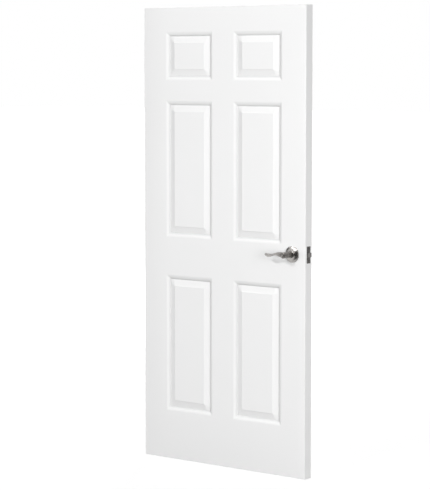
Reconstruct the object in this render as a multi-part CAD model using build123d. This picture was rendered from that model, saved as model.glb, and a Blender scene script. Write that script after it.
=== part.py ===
from build123d import *
import math
import os

# A moulded fibreboard door leaf with six raised panels, a lever latch set and three butt hinges.
# Millimetres. +Z is up, the front face looks along -Y, the latch edge is at +X, the hinge edge at -X.
# The origin is the middle of the leaf's bottom edge.

# Leaf
leaf_width = 914.4
leaf_height = 2032.0
leaf_thick = 44.5
skin_thick = 3.2
frame_width = 35.0

# Panel layout on both faces, measured to the outer edge of each moulding
mullion_width = 120.0
panel_width = 268.0
bottom_rail_face = 220.0
lower_panel_height = 616.5
lock_rail_face = 172.5
middle_panel_height = 609.5
frieze_rail_face = 92.0
upper_panel_height = 213.5

# Section of the moulding, from the outer edge of a panel inwards
ovolo_width = 17.0
ovolo_depth = 7.0
ovolo_bulge = 0.9
quirk_width = 1.0
groove_depth = 9.2
groove_flat = 1.5
bevel_width = 25.0
bevel_top_depth = 2.4
step_width = 3.5
step_hollow = 0.3
field_depth = 0.4

# Lock preparation
lock_height = 969.5
backset = 70.0
cross_bore_dia = 54.0
edge_bore_dia = 25.4

# Lever set, distances outward from the face
rose_dia = 70.0
rose_height = 12.5
rose_wall = 1.3
neck_dia = 26.0
shank_dia = 20.0
running_gap = 0.05
free_gap = 0.3
nose_height = 70.0
handle_height = 57.0
spindle_side = 7.0
lever_turn = 55.0
button_dia = 7.0
button_ring = 2.0
button_travel = 3.0

# Latch
plate_height = 73.0
plate_width = 25.4
plate_thick = 2.0
plate_corner = 2.0
bolt_throw = 11.2
bolt_dia = 20.6
bolt_width = 14.0

# Hinges
hinge_height = 101.6
hinge_leaf_width = 50.8
hinge_margin = 6.35
hinge_plate_thick = 2.5
hinge_gap = 3.0
knuckle_count = 5
knuckle_dia = 12.4
pin_dia = 7.0
top_hinge_drop = 178.0
bottom_hinge_rise = 279.0

# Places that follow from the sizes above
half_width = leaf_width / 2
half_thick = leaf_thick / 2
core_thick = leaf_thick - 2 * skin_thick
lock_x = half_width - backset
column_x = (mullion_width + panel_width) / 2
lower_panel_z = bottom_rail_face
middle_panel_z = lower_panel_z + lower_panel_height + lock_rail_face
upper_panel_z = middle_panel_z + middle_panel_height + frieze_rail_face
panel_rows = [
    (lower_panel_z, lower_panel_height),
    (middle_panel_z, middle_panel_height),
    (upper_panel_z, upper_panel_height),
]
pin_x = -half_width - hinge_gap / 2
pin_y = half_thick + hinge_leaf_width - (leaf_thick - hinge_margin)
bottom_hinge_z = bottom_hinge_rise
top_hinge_z = leaf_height - top_hinge_drop - hinge_height
hinge_places = {
    "bottom": bottom_hinge_z,
    "middle": (bottom_hinge_z + top_hinge_z) / 2,
    "top": top_hinge_z,
}

# Frame of the lever set: x towards the latch edge, y up, z outward from the front face
lever_frame = Plane(origin=(lock_x, -half_thick, lock_height), x_dir=(1, 0, 0), z_dir=(0, -1, 0))


def span_box(x0, x1, y0, y1, z0, z1):
    """A box between two corners."""
    middle = Pos((x0 + x1) / 2, (y0 + y1) / 2, (z0 + z1) / 2)
    return middle * Box(x1 - x0, y1 - y0, z1 - z0)


def rod(plane, radius, start, end):
    """A cylinder along a plane's normal, between two distances from its origin."""
    return plane * Pos(0, 0, (start + end) / 2) * Cylinder(radius, end - start)


def turned(outline):
    """A solid of revolution about Z from curves in the XZ plane, x being the radius."""
    return revolve(Plane.XZ * make_face(outline), axis=Axis.Z)


def on_rear(shape):
    """The same piece on the other face of the leaf."""
    return mirror(shape, about=Plane.XZ)


# Leaf


def moulding_section():
    """The moulding's section: x runs inwards from the panel's edge, y is the depth below the face."""
    groove_start = ovolo_width + quirk_width
    bevel_start = groove_start + groove_flat
    bevel_end = bevel_start + bevel_width
    field_edge = bevel_end + step_width
    ovolo = SagittaArc((0, 0), (ovolo_width, ovolo_depth), -ovolo_bulge)
    quirk = Line((ovolo_width, ovolo_depth), (groove_start, groove_depth))
    groove = Line((groove_start, groove_depth), (bevel_start, groove_depth))
    bevel = Line((bevel_start, groove_depth), (bevel_end, bevel_top_depth))
    step = SagittaArc((bevel_end, bevel_top_depth), (field_edge, field_depth), step_hollow)
    back = Polyline((field_edge, field_depth), (field_edge, 0), (0, 0))
    return make_face(Curve() + [ovolo, quirk, groove, bevel, step, back]), field_edge


def panel_relief(height):
    """The hollow that one panel sinks below the face: its moulding mitred round a raised field."""
    section, band = moulding_section()
    half = panel_width / 2
    corners = [(-half, 0, 0), (-half, 0, height), (half, 0, height), (half, 0, 0)]
    path = Polyline((0, 0, 0), *corners, (0, 0, 0))
    across = Plane(origin=(0, 0, 0), x_dir=(0, 0, 1), z_dir=(-1, 0, 0))
    moulding = sweep(across * section, path=path, transition=Transition.RIGHT)
    field = span_box(band - half, half - band, 0, field_depth, band, height - band)
    return moulding + field


def panel_reliefs(depth):
    """All six reliefs of the front, sunk from a plane this far behind the front face."""
    found = []
    for rise, height in panel_rows:
        one = panel_relief(height)
        for x in (-column_x, column_x):
            found.append(Pos(x, depth - half_thick, rise) * one)
    return found


def cross_bore():
    """The bore through both faces that takes the lever set."""
    return rod(lever_frame, cross_bore_dia / 2, -leaf_thick, 0)


def front_skin():
    """Moulded fibreboard of even thickness, pressed into six panels."""
    sheet = span_box(-half_width, half_width, -half_thick, skin_thick - half_thick, 0, leaf_height)
    return sheet + panel_reliefs(skin_thick) - panel_reliefs(0) - cross_bore()


def core():
    """The particleboard core, routed to clear the back of both skins' mouldings."""
    side = half_width - frame_width
    half = core_thick / 2
    board = span_box(-side, side, -half, half, frame_width, leaf_height - frame_width)
    backs = panel_reliefs(skin_thick)
    return board - backs - [on_rear(back) for back in backs] - cross_bore()


def stile(edge_x):
    """A timber stile along one edge, from x at the edge inwards."""
    inner = edge_x - math.copysign(frame_width, edge_x)
    half = core_thick / 2
    return span_box(min(edge_x, inner), max(edge_x, inner), -half, half, 0, leaf_height)


def rail(z):
    """A timber rail between the stiles, from z upwards."""
    side = half_width - frame_width
    half = core_thick / 2
    return span_box(-side, side, -half, half, z, z + frame_width)


# Screws with countersunk heads

sink_angle = math.radians(41)


def sunk_screw(head_radius, shank_radius, length):
    """A screw along -Z with its flat head's top at the origin."""
    head = (head_radius - shank_radius) / math.tan(sink_angle)
    point = 2 * shank_radius
    outline = Polyline(
        (0, 0),
        (head_radius, 0),
        (shank_radius, -head),
        (shank_radius, point - length),
        (0, -length),
        (0, 0),
    )
    return turned(outline)


def sunk_hole(head_radius, hole_radius, depth):
    """The countersunk hole for such a screw, along -Z from the origin."""
    sink = (head_radius - hole_radius) / math.tan(sink_angle)
    outline = Polyline(
        (0, 0),
        (head_radius, 0),
        (hole_radius, -sink),
        (hole_radius, -depth),
        (0, -depth),
        (0, 0),
    )
    return turned(outline)


# Hinges

hinge_head_radius = 4.4
hinge_hole_radius = 2.6
hinge_shank_radius = 2.4
hinge_screw_length = 32.0
wide_spacing = 76.0
near_spacing = 28.0
far_column = 38.0
near_column = 25.0
knuckle_gap = 0.3
barrel_clearance = 0.5
corner_radius = 6.35


def hinge_axis(z):
    """The pin's axis, upward from the bottom of a hinge."""
    return Plane(origin=(pin_x, pin_y, z), x_dir=(1, 0, 0), z_dir=(0, 0, 1))


def hole_places(wide_column, close_column):
    """Holes as distance from the pin and height from the hinge's bottom: a wide pair and a close one."""
    pairs = [(wide_column, wide_spacing), (close_column, near_spacing)]
    return [
        (column, hinge_height / 2 + sign * spacing / 2)
        for column, spacing in pairs
        for sign in (-1, 1)
    ]


def hinge_blank(outer_x, inner_x, z):
    """A leaf's plate between two x, with rounded free corners."""
    free_y = pin_y - hinge_leaf_width
    plate = span_box(min(outer_x, inner_x), max(outer_x, inner_x), free_y, pin_y, z, z + hinge_height)
    free_corners = plate.edges().filter_by(Axis.X).group_by(Axis.Y)[0]
    return fillet(free_corners, corner_radius)


def hinge_leaf(plate, own, z):
    """A leaf with its own knuckles rolled on, cut back where the other leaf's knuckles turn."""
    step = hinge_height / knuckle_count
    axis = hinge_axis(z)
    leaf = plate
    for number in range(knuckle_count):
        start = number * step
        if number in own:
            low = start + (knuckle_gap / 2 if number > 0 else 0)
            high = start + step - (knuckle_gap / 2 if number < knuckle_count - 1 else 0)
            leaf += rod(axis, knuckle_dia / 2, low, high)
        else:
            reach = knuckle_dia / 2 + barrel_clearance
            leaf -= rod(axis, reach, start - knuckle_gap / 2, start + step + knuckle_gap / 2)
    return leaf - rod(axis, pin_dia / 2 + running_gap, -hinge_height, 2 * hinge_height)


def facing(x, y, z, outward):
    """A plane at a point of an edge, its normal along X in the outward sense."""
    return Plane(origin=(x, y, z), x_dir=(0, 1, 0), z_dir=(outward, 0, 0))


def door_leaf_blank(z):
    """The plate let into the hinge edge, flush with it."""
    return hinge_blank(-half_width, hinge_plate_thick - half_width, z)


def door_leaf_screw_planes(z):
    """Where the four screws of a hinge go into the hinge edge."""
    places = hole_places(far_column, near_column)
    return [facing(-half_width, pin_y - column, z + rise, -1) for column, rise in places]


def door_hinge_leaf(z):
    """The leaf on the door."""
    leaf = hinge_leaf(door_leaf_blank(z), (1, 3), z)
    hole = sunk_hole(hinge_head_radius, hinge_hole_radius, 2 * hinge_plate_thick)
    return leaf - [plane * hole for plane in door_leaf_screw_planes(z)]


def jamb_hinge_leaf(z):
    """The leaf that is screwed to the jamb, its holes staggered against the door leaf's."""
    face_x = -half_width - hinge_gap
    leaf = hinge_leaf(hinge_blank(face_x, face_x - hinge_plate_thick, z), (0, 2, 4), z)
    hole = sunk_hole(hinge_head_radius, hinge_hole_radius, 2 * hinge_plate_thick)
    places = hole_places(near_column, far_column)
    planes = [facing(face_x, pin_y - column, z + rise, 1) for column, rise in places]
    return leaf - [plane * hole for plane in planes]


def hinge_pin(z):
    """A loose pin with a button head that rests on the top knuckle."""
    head_radius = 5.2
    head_height = 3.2
    head_round = 2.0
    tail = 2.0
    tail_chamfer = 1.0
    shank = rod(hinge_axis(z), pin_dia / 2, -tail, hinge_height)
    shank = chamfer(shank.edges().group_by(Axis.Z)[0], tail_chamfer)
    head = rod(hinge_axis(z), head_radius, hinge_height, hinge_height + head_height)
    head = fillet(head.edges().group_by(Axis.Z)[-1], head_round)
    return shank + head


def hinge_screws():
    """Every screw of the door leaves, as separate solids."""
    screw = sunk_screw(hinge_head_radius, hinge_shank_radius, hinge_screw_length)
    planes = [plane for z in hinge_places.values() for plane in door_leaf_screw_planes(z)]
    return [plane * screw for plane in planes]


# Lever set

rim_height = 5.0
dome_bulge = 1.5
collar_width = 4.5
collar_rise = 1.0
collar_round = 1.5
bearing_wall = 2.0
mount_disc_radius = 31.5
mount_disc_thick = 2.4
bearing_top = 7.0
bearing_bottom = -6.0
cassette_radius = 18.8
cassette_wall = 1.4
spring_width = 4.0
post_offset = 23.0
post_radius = 3.5
mount_screw_radius = 1.9
mount_head_radius = 3.6
mount_head_height = 2.2
set_screw_radius = 2.5
set_screw_height = 17.0
set_screw_inset = 1.2
waist_radius = 12.4
nose_radius = 13.6
nose_round = 5.0


def front_rose():
    """A domed rose, pressed hollow, with a raised collar round the lever's neck."""
    rim = rose_dia / 2
    inner_rim = rim - 1.5 * rose_wall
    inner_rim_height = rim_height - rose_wall / 2
    hole = neck_dia / 2 + free_gap
    collar = neck_dia / 2 + collar_width
    collar_top = collar - collar_round
    collar_base = rose_height - collar_rise
    under_height = collar_base - rose_wall
    outer = SagittaArc((rim, rim_height), (collar, collar_base), -dome_bulge)
    shoulder = RadiusArc((collar, collar_base), (collar_top, rose_height), -2 * collar_round)
    top = Polyline((collar_top, rose_height), (hole, rose_height), (hole, under_height), (collar, under_height))
    inner = SagittaArc((collar, under_height), (inner_rim, inner_rim_height), dome_bulge)
    foot = Polyline((inner_rim, inner_rim_height), (inner_rim, 0), (rim, 0), (rim, rim_height))
    return lever_frame * turned(Curve() + [outer, shoulder, top, inner, foot])


def mount_plate():
    """The plate under a rose: a disc over the bore, the lever's bearing and a cup for the return spring."""
    bore = shank_dia / 2 + running_gap
    disc = rod(lever_frame, mount_disc_radius, 0, mount_disc_thick)
    bearing = rod(lever_frame, bore + bearing_wall, bearing_bottom, bearing_top)
    cup = rod(lever_frame, cassette_radius, 0, bearing_top)
    cup -= rod(lever_frame, cassette_radius - cassette_wall, mount_disc_thick, bearing_top)
    return disc + cup + bearing - rod(lever_frame, bore, bearing_bottom, bearing_top)


def post_planes():
    """The axes of the two through screws, above and below the latch."""
    return [lever_frame * Pos(0, sign * post_offset, 0) for sign in (-1, 1)]


def front_mount_plate():
    """The front plate, with the two threaded posts that reach through the bore."""
    plate = mount_plate()
    for plane in post_planes():
        plate += plane * Pos(0, 0, -leaf_thick / 2) * Cylinder(post_radius, leaf_thick)
        plate -= plane * Pos(0, 0, -leaf_thick / 2) * Cylinder(mount_screw_radius, leaf_thick)
    return plate


def rear_mount_plate():
    """The rear plate, drilled for the through screws."""
    plate = on_rear(mount_plate())
    for plane in post_planes():
        plate -= plane * Pos(0, 0, -leaf_thick) * Cylinder(mount_screw_radius, leaf_thick)
    return plate


def mount_screws():
    """Two pan-head screws from the rear plate into the front plate's posts."""
    seat = -leaf_thick - mount_disc_thick
    length = 36.0
    found = []
    for plane in post_planes():
        head = plane * Pos(0, 0, seat - mount_head_height / 2) * Cylinder(mount_head_radius, mount_head_height)
        shank = plane * Pos(0, 0, seat + length / 2) * Cylinder(mount_screw_radius, length)
        found.append(head + shank)
    return found


def return_spring():
    """A flat spiral of strip in the cup, wound as half circles of growing radius."""
    strip = 0.6
    pitch = 1.0
    inner = 13.2
    half_turns = 7
    spring = None
    for number in range(half_turns):
        radius = inner + number * pitch / 2
        side = 1 if number % 2 else -1
        centre = (0, side * pitch / 4)
        inside = CenterArc(centre, radius, side * -90, 180)
        outside = CenterArc(centre, radius + strip, side * -90, 180)
        ends = [Line(inside @ end, outside @ end) for end in (0, 1)]
        turn = extrude(make_face(Curve() + [inside, outside, *ends]), spring_width)
        spring = turn if spring is None else spring + turn
    return lever_frame * Pos(0, 0, mount_disc_thick) * spring


def lever_neck():
    """The turned neck of a lever: shank in the bearing, waisted neck, rounded nose."""
    shank = shank_dia / 2
    neck = neck_dia / 2
    shoulder = bearing_top + free_gap
    neck_start = rose_height + collar_round
    dome_start = nose_height - nose_round
    dome_edge = nose_radius - nose_round
    lower = Polyline((0, bearing_bottom), (shank, bearing_bottom), (shank, shoulder), (neck, shoulder))
    collar = Line((neck, shoulder), (neck, neck_start))
    waist = ThreePointArc(
        (neck, neck_start),
        (waist_radius, handle_height / 2),
        (nose_radius, handle_height),
    )
    side = Line((nose_radius, handle_height), (nose_radius, dome_start))
    dome = RadiusArc((nose_radius, dome_start), (dome_edge, nose_height), -nose_round)
    back = Polyline((dome_edge, nose_height), (0, nose_height), (0, bearing_bottom))
    return turned(Curve() + [lower, collar, waist, side, dome, back])


def lever_handle():
    """The cast handle, lofted through ovals that fall, thin out and swell again in a wave to the tip."""
    # Distance from the spindle, rise, half height, height off the face, half depth
    stations = [
        (0, 0.0, 12.0, handle_height, 9.5),
        (16, 1.0, 11.2, handle_height, 8.6),
        (30, 2.6, 9.0, handle_height, 7.4),
        (44, 3.2, 6.2, handle_height, 6.2),
        (58, 0.2, 4.6, handle_height - 0.5, 5.4),
        (72, -3.6, 5.6, handle_height - 1.5, 5.0),
        (86, -4.6, 7.2, handle_height - 2.8, 4.8),
        (98, -3.6, 7.2, handle_height - 4.2, 4.4),
        (107, -2.0, 5.0, handle_height - 5.4, 3.5),
        (111.5, -1.4, 2.2, handle_height - 6.0, 1.8),
    ]
    ovals = []
    for reach, rise, half_height, height, half_depth in stations:
        plane = Plane(origin=(-reach, rise, height), x_dir=(0, 1, 0), z_dir=(-1, 0, 0))
        ovals.append(plane * Ellipse(half_height, half_depth))
    return loft(ovals)


def set_screw_place():
    """The set screw's hole under the neck: its axis from the spindle down."""
    return Plane(origin=(0, 0, set_screw_height), x_dir=(1, 0, 0), z_dir=(0, -1, 0))


spindle_reach = 34.0


def lever():
    """A lever as one casting, bored for the spindle and its set screw."""
    casting = lever_neck() + lever_handle()
    socket_height = spindle_reach - bearing_bottom
    socket = Pos(0, 0, bearing_bottom + socket_height / 2) * Box(spindle_side, spindle_side, socket_height)
    screw_hole = rod(set_screw_place(), set_screw_radius, 0, neck_dia)
    return casting - socket - screw_hole


stem_radius = 2.0
button_seat = nose_height - 8.0
stem_foot = button_seat - 14.0


def front_lever():
    """The front lever, with a stepped hole in its nose for the push button."""
    bore_radius = button_dia / 2 + button_ring
    bore = rod(Plane.XY, bore_radius, button_seat - button_travel - free_gap, nose_height)
    stem_bore = rod(Plane.XY, stem_radius + running_gap, stem_foot - button_travel - free_gap, nose_height)
    return lever_frame * (lever() - bore - stem_bore)


def rear_lever():
    """The rear lever, with the small release hole in its nose."""
    hole_radius = 1.5
    hole_depth = 20.0
    release_hole = rod(Plane.XY, hole_radius, nose_height - hole_depth, nose_height)
    return on_rear(lever_frame * (lever() - release_hole))


def push_button():
    """The privacy button and its stem, standing proud of the nose by a little more than its travel."""
    least_proud = 0.5
    edge_round = 1.2
    head = rod(Plane.XY, button_dia / 2, button_seat, nose_height + button_travel + least_proud)
    head = fillet(head.edges().group_by(Axis.Z)[-1], edge_round)
    return lever_frame * (head + rod(Plane.XY, stem_radius, stem_foot, button_seat))


def spindle():
    """The square bar that joins both levers through the latch hub."""
    half = spindle_side / 2
    reach = half_thick + spindle_reach
    return span_box(lock_x - half, lock_x + half, -reach, reach, lock_height - half, lock_height + half)


def set_screws():
    """The set screw of each lever, from the spindle's flat to just inside the neck."""
    screw = rod(set_screw_place(), set_screw_radius, spindle_side / 2, neck_dia / 2 - set_screw_inset)
    front = lever_frame * screw
    return [front, on_rear(front)]


# Latch, along X from the leaf's edge

latch_axis = Plane(origin=(half_width, 0, lock_height), x_dir=(0, 1, 0), z_dir=(1, 0, 0))
case_radius = 12.5
case_inner_radius = 10.9
case_length = 36.0
case_wall = 2.0
cheek_inner = 4.7
cheek_outer = 6.7
cheek_half_height = 10.5
cheek_end = backset + 14.0
hub_radius = 7.5
journal_radius = 6.4
arm_width = 4.0
arm_half_thick = 2.0
arm_reach = 13.5
bolt_back = 17.0
tail_half_width = 4.0
low_tail = (4.6, 8.2)
high_tail = (8.6, 12.0)
joggle = (backset - 22.0, backset - 16.0)
tail_end = backset + 8.0
guide_drop = 3.0
guide_radius = 2.2
guide_end = 28.0
plate_screw_spacing = 54.0
plate_screw_head = 4.0
plate_screw_hole = 2.3
plate_screw_shank = 2.1
plate_screw_length = 20.0


def latch_box(start, end, y0, y1, low, high):
    """A box by its depth in from the edge, its y and its height over the latch's axis."""
    return span_box(half_width - end, half_width - start, y0, y1, lock_height + low, lock_height + high)


def bolt_section(gap):
    """The bolt's section: a round with two flat sides."""
    return Circle(bolt_dia / 2 + gap) & Rectangle(bolt_width + 2 * gap, bolt_dia + 2 * gap)


def plate_screw_planes():
    """Where the faceplate's two screws go in."""
    return [
        facing(half_width, 0, lock_height + sign * plate_screw_spacing / 2, 1)
        for sign in (-1, 1)
    ]


def faceplate_blank():
    """The faceplate's outline, flush with the leaf's edge."""
    blank = latch_box(0, plate_thick, -plate_width / 2, plate_width / 2, -plate_height / 2, plate_height / 2)
    return fillet(blank.edges().filter_by(Axis.X), plate_corner)


def latch_faceplate():
    """The faceplate, with the bolt's opening and two countersunk holes."""
    opening = extrude(latch_axis * bolt_section(free_gap), -plate_thick)
    hole = sunk_hole(plate_screw_head, plate_screw_hole, 2 * plate_thick)
    return faceplate_blank() - opening - [plane * hole for plane in plate_screw_planes()]


def faceplate_screws():
    """The two screws that hold the faceplate in the edge."""
    screw = sunk_screw(plate_screw_head, plate_screw_shank, plate_screw_length)
    return [plane * screw for plane in plate_screw_planes()]


def latch_case():
    """The tube in the edge bore, its back wall, and two cheeks that carry the hub."""
    tube = rod(latch_axis, case_radius, -case_length, -plate_thick)
    tube -= rod(latch_axis, case_inner_radius, case_wall - case_length, -plate_thick)
    tail_slot = tail_half_width + free_gap
    wall = case_length + case_wall
    tube -= latch_box(0, wall, -tail_slot, tail_slot, low_tail[0] - free_gap, low_tail[1] + free_gap)
    tube -= rod(latch_axis, guide_radius + free_gap, -wall, 0).translate((0, 0, -guide_drop))
    for side in (-1, 1):
        near, far = sorted((side * cheek_inner, side * cheek_outer))
        cheek = latch_box(case_length, cheek_end, near, far, -cheek_half_height, cheek_half_height)
        tube += cheek
    bearing = rod(lever_frame, journal_radius + running_gap, -leaf_thick, 0)
    return tube - bearing


def latch_hub():
    """The hub that the spindle turns, with the arm that draws the bolt's tail."""
    across = Plane(origin=(lock_x, 0, lock_height), x_dir=(1, 0, 0), z_dir=(0, -1, 0))
    body_half = cheek_inner - free_gap
    body = rod(across, hub_radius, -body_half, body_half)
    journals = rod(across, journal_radius, -cheek_outer, cheek_outer)
    arm = Pos(0, arm_reach / 2, 0) * Rectangle(arm_width, arm_reach)
    arm = fillet(arm.vertices().group_by(Axis.Y)[-1], 0.45 * arm_width)
    arm = extrude(across * Rot(0, 0, -lever_turn / 2) * arm, arm_half_thick, both=True)
    side = spindle_side
    return body + journals + arm - across * Box(side, side, leaf_thick)


def latch_bolt():
    """The bolt, bevelled towards the front, with its spring guide and the joggled tail."""
    head = extrude(latch_axis * Pos(0, 0, -bolt_back) * bolt_section(0), bolt_back + bolt_throw)
    nose_flat = 3.0
    bevel_start = 0.6
    half = bolt_width / 2
    bevel = Polyline(
        (half_width + bolt_throw, half - nose_flat),
        (half_width + bolt_throw, -half),
        (half_width + bevel_start, -half),
        (half_width + bolt_throw, half - nose_flat),
    )
    wedge = extrude(Pos(0, 0, lock_height) * make_face(bevel), bolt_dia, both=True)
    guide = rod(latch_axis, guide_radius, -guide_end, -bolt_back).translate((0, 0, -guide_drop))
    return head - wedge + guide + latch_tail()


def latch_tail():
    """The tail: a low run through the case, a joggle up, and a slotted run over the hub."""
    bar = Polyline(
        (half_width - bolt_back, low_tail[0]),
        (half_width - joggle[0], low_tail[0]),
        (half_width - joggle[1], high_tail[0]),
        (half_width - tail_end, high_tail[0]),
        (half_width - tail_end, high_tail[1]),
        (half_width - joggle[1], high_tail[1]),
        (half_width - joggle[0], low_tail[1]),
        (half_width - bolt_back, low_tail[1]),
        (half_width - bolt_back, low_tail[0]),
    )
    profile = Plane(origin=(0, 0, lock_height), x_dir=(1, 0, 0), z_dir=(0, -1, 0)) * make_face(bar)
    tail = extrude(profile, tail_half_width, both=True)
    lean = math.radians(lever_turn / 2)
    near = high_tail[0] * math.tan(lean) - arm_width / 2 / math.cos(lean)
    far = high_tail[1] * math.tan(lean) + arm_width / 2 / math.cos(lean)
    slot_half = arm_half_thick + free_gap
    slot = latch_box(
        backset - far - free_gap,
        backset - near + free_gap,
        -slot_half,
        slot_half,
        high_tail[0],
        high_tail[1],
    )
    return tail - slot


def latch_spring():
    """A coil spring of square wire on the bolt's guide, between the bolt and the case's back wall."""
    wire = 0.9
    mean_radius = 3.6
    turns = 4
    start = case_length - case_wall
    length = start - bolt_back - wire
    axis = latch_axis * Pos(0, 0, -start + wire / 2)
    axis = Pos(0, 0, -guide_drop) * axis
    path = Helix(pitch=length / turns, height=length, radius=mean_radius)
    section = Plane(origin=path @ 0, x_dir=(1, 0, 0), z_dir=path % 0) * Rectangle(wire, wire)
    return axis * sweep(section, path=path, is_frenet=True)


# The leaf's timber, cut for the hardware


def hinge_stile():
    """The hinge stile, with gains for the hinge leaves and their screws' holes."""
    gains = [door_leaf_blank(z) for z in hinge_places.values()]
    return stile(-half_width) - gains - hinge_screws()


def lock_stile():
    """The lock stile, with the edge bore, the faceplate's mortise and its screws' holes."""
    bore = rod(latch_axis, edge_bore_dia / 2, -backset, 0)
    return stile(half_width) - bore - faceplate_blank() - faceplate_screws() - cross_bore()


def rear_skin():
    """The rear skin, notched where the hinge leaves pass out to their knuckles."""
    return on_rear(front_skin()) - [door_leaf_blank(z) for z in hinge_places.values()]


def drilled_core():
    """The core, bored for the latch case between the lock stile and the cross bore."""
    return core() - rod(latch_axis, edge_bore_dia / 2, -backset, 0)


# Every piece by name

nodes = {
    "front_skin": front_skin(),
    "rear_skin": rear_skin(),
    "hinge_stile": hinge_stile(),
    "lock_stile": lock_stile(),
    "top_rail": rail(leaf_height - frame_width),
    "bottom_rail": rail(0),
    "core": drilled_core(),
    "hinge_screws": hinge_screws(),
    "front_rose": front_rose(),
    "rear_rose": on_rear(front_rose()),
    "front_mount_plate": front_mount_plate(),
    "rear_mount_plate": rear_mount_plate(),
    "mount_screws": mount_screws(),
    "front_return_spring": return_spring(),
    "rear_return_spring": on_rear(return_spring()),
    "front_lever": front_lever(),
    "rear_lever": rear_lever(),
    "push_button": push_button(),
    "spindle": spindle(),
    "set_screws": set_screws(),
    "latch_faceplate": latch_faceplate(),
    "faceplate_screws": faceplate_screws(),
    "latch_case": latch_case(),
    "latch_hub": latch_hub(),
    "latch_bolt": latch_bolt(),
    "latch_spring": latch_spring(),
}
for place, z in hinge_places.items():
    nodes[f"{place}_hinge_door_leaf"] = door_hinge_leaf(z)
    nodes[f"{place}_hinge_jamb_leaf"] = jamb_hinge_leaf(z)
    nodes[f"{place}_hinge_pin"] = hinge_pin(z)

os.makedirs("parts", exist_ok=True)
for name, piece in nodes.items():
    pieces = piece if isinstance(piece, list) else [piece]
    solids = [solid for one in pieces for solid in one.solids()]
    export_step(solids[0] if len(solids) == 1 else Compound(solids), f"parts/{name}.step")
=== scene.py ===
import bmesh
import bpy
import math
import numpy as np
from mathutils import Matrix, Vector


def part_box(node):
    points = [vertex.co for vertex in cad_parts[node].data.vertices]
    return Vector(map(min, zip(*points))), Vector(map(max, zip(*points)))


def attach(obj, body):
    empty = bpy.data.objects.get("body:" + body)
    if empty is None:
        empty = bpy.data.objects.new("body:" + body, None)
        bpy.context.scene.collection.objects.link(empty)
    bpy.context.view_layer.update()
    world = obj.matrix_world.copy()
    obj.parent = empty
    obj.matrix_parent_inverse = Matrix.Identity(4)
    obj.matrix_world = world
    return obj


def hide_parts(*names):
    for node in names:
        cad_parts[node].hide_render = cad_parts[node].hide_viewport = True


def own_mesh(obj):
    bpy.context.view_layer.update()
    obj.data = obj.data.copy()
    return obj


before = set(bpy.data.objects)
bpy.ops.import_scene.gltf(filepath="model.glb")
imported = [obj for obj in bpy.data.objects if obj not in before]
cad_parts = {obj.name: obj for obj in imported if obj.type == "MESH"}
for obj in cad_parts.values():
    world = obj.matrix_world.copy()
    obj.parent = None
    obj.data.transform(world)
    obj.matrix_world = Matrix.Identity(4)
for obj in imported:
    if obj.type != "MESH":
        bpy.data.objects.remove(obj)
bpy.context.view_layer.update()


# Core. A slab of particleboard fills the leaf: wood chips pressed flat with resin, routed to clear the
# backs of the mouldings. It is glued between the two skins, inside the timber frame.

mm = 0.001
pale_chip = (0.52, 0.37, 0.21, 1)
dark_chip = (0.30, 0.19, 0.10, 1)
chip_cells = 260.0
chip_relief = 0.3 * mm


def add_node(tree, kind, inputs=None, **settings):
    """A node of one kind. Inputs are plain values, or outputs of other nodes to link."""
    node = tree.nodes.new(kind)
    for name, value in settings.items():
        setattr(node, name, value)
    for name, value in (inputs or {}).items():
        if isinstance(value, bpy.types.NodeSocket):
            tree.links.new(value, node.inputs[name])
        else:
            node.inputs[name].default_value = value
    return node


def new_material(name):
    """A material, its node tree and its Principled shader."""
    material = bpy.data.materials.new(name)
    material.use_nodes = True
    return material, material.node_tree, material.node_tree.nodes["Principled BSDF"]


def object_place(tree):
    """Object coordinates, in metres."""
    return tree.nodes.new("ShaderNodeTexCoord").outputs["Object"]


def stretched_place(tree, scale):
    """Object coordinates, stretched along each axis by a scale in cycles a metre."""
    inputs = {"Vector": object_place(tree), "Scale": scale}
    return add_node(tree, "ShaderNodeMapping", inputs).outputs["Vector"]


def noise(tree, place, scale=1.0, detail=2.0):
    """Smooth noise from 0 to 1 over a place."""
    inputs = {"Vector": place, "Scale": scale, "Detail": detail}
    return add_node(tree, "ShaderNodeTexNoise", inputs).outputs["Fac"]


def spread(tree, value, low, high, start=0.0, end=1.0):
    """A value between start and end, carried over to the range from low to high."""
    inputs = {"Value": value, "From Min": start, "From Max": end, "To Min": low, "To Max": high}
    return add_node(tree, "ShaderNodeMapRange", inputs).outputs["Result"]


def spread_noise(tree, value, low, high):
    """Noise, nearly all of which lies from 0.3 to 0.7, carried over to the range from low to high."""
    return spread(tree, value, low, high, start=0.3, end=0.7)


def combined(tree, operation, first, second):
    """Two values put together by a Math node."""
    return add_node(tree, "ShaderNodeMath", {0: first, 1: second}, operation=operation).outputs[0]


def blended(tree, mask, first, second):
    """A colour that goes from the first to the second as the mask goes from 0 to 1."""
    # The Mix node's colours are its inputs 6 and 7 and its output 2
    mix = add_node(tree, "ShaderNodeMix", {0: mask, 6: first, 7: second}, data_type="RGBA")
    return mix.outputs[2]


def scaled(tree, vector, factor):
    """A colour or other vector times a factor."""
    inputs = {0: vector, "Scale": factor}
    return add_node(tree, "ShaderNodeVectorMath", inputs, operation="SCALE").outputs["Vector"]


def link_finish(tree, shader, colour, roughness, height, depth):
    """Joins a finish to its shader: colour, roughness, and a relief of this depth in metres."""
    bump = add_node(tree, "ShaderNodeBump", {"Height": height, "Distance": depth})
    tree.links.new(colour, shader.inputs["Base Color"])
    tree.links.new(roughness, shader.inputs["Roughness"])
    tree.links.new(bump.outputs["Normal"], shader.inputs["Normal"])


def dress(material, *names):
    """Gives CAD nodes this material."""
    for name in names:
        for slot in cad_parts[name].material_slots:
            slot.material = material


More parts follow.
